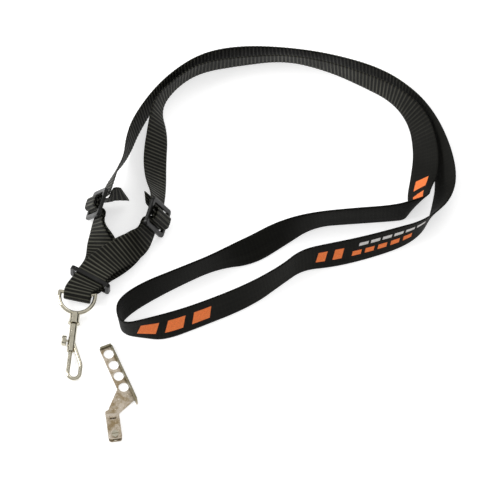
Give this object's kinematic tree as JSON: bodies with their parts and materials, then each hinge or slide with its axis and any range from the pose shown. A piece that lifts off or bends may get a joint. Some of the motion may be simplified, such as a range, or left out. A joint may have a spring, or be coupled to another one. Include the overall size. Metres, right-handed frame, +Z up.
{
  "type": "transmitter neck strap",
  "caption": "Webbing neck strap with two sliding adjusters, a keeper and a swivel bolt snap, with a loose perforated balance bracket that clamps to a handle.",
  "frame": {"origin": "middle of the footprint, on the surface the strap lies on", "axes": "+Z up from that surface, +X towards the far bend of the neck loop, -Y towards the bolt snap's hook and the bracket"},
  "size_m": [0.2573, 0.2757, 0.029],
  "materials": {
    "webbing_black": "ribbed woven polyester, satin",
    "plastic_charcoal": "moulded, slight sheen",
    "nickel_plate": "polished nickel plate",
    "snap_steel": "plated steel",
    "spring_steel": "drawn wire",
    "bracket_steel": "raw cut steel",
    "screw_steel": "zinc plated"
  },
  "bodies": {
    "webbing": {"neck_webbing": "webbing_black", "left_leg_webbing": "webbing_black", "right_leg_webbing": "webbing_black"},
    "left_adjuster": {"left_adjuster": "plastic_charcoal"},
    "right_adjuster": {"right_adjuster": "plastic_charcoal"},
    "keeper": {"strap_keeper": "plastic_charcoal"},
    "eye": {"swivel_eye": "nickel_plate", "swivel_stem": "snap_steel", "swivel_collar": "nickel_plate"},
    "hook": {"hook_body": "nickel_plate", "bolt_spring": "spring_steel"},
    "bolt": {"gate_bolt": "snap_steel", "thumb_stud": "nickel_plate"},
    "bracket": {"balance_bracket": "bracket_steel", "clamp_nut": "screw_steel"},
    "screw": {"clamp_screw": "screw_steel"},
    "jaw": {"clamp_jaw": "bracket_steel"}
  },
  "joints": [
    {"name": "left_adjuster_rock", "type": "hinge", "parent": "webbing", "child": "left_adjuster", "pos_m": [-0.1036, 0.0242, 0.015], "axis": [0.2909, -0.2906, 0.9116], "range_deg": [-6, 6]},
    {"name": "right_adjuster_rock", "type": "hinge", "parent": "webbing", "child": "right_adjuster", "pos_m": [-0.0646, 0.0147, 0.015], "axis": [0.4027, 0.03, -0.9149], "range_deg": [-6, 6]},
    {"name": "keeper_slide", "type": "slide", "parent": "webbing", "child": "keeper", "axis": [0.5, 0.866, 0], "range_m": [-0.0005, 0.003]},
    {"name": "eye_swing", "type": "hinge", "parent": "webbing", "child": "eye", "pos_m": [-0.1159, -0.0351, 0.0062], "axis": [-0.9936, 0.1132, 0], "range_deg": [-65, 65]},
    {"name": "hook_swivel", "type": "hinge", "parent": "eye", "child": "hook", "pos_m": [-0.11834, -0.05651, 0.00469], "axis": [-0.1129, -0.9912, -0.0698], "continuous": true},
    {"name": "bolt_pull", "type": "slide", "parent": "hook", "child": "bolt", "axis": [0.1129, 0.9912, 0.0698], "range_m": [0, 0.007], "stiffness_N_per_m": 300, "springref_m": -0.003, "deforming": ["bolt_spring"]},
    {"name": "bracket_lift", "type": "slide", "parent": "webbing", "child": "bracket", "axis": [0, 0, 1], "range_m": [0, 0.06]},
    {"name": "screw_turn", "type": "hinge", "parent": "bracket", "child": "screw", "pos_m": [-0.09147, -0.13474, 0.004], "axis": [0, 0, -1], "range_deg": [0, 1081]},
    {"name": "jaw_close", "type": "slide", "parent": "bracket", "child": "jaw", "axis": [0, 0, -1], "range_m": [0, 0.0015]}
  ],
  "couplings": [
    {"joint": "screw_turn", "follows": "jaw_close", "rad_per_m": 12566}
  ]
}
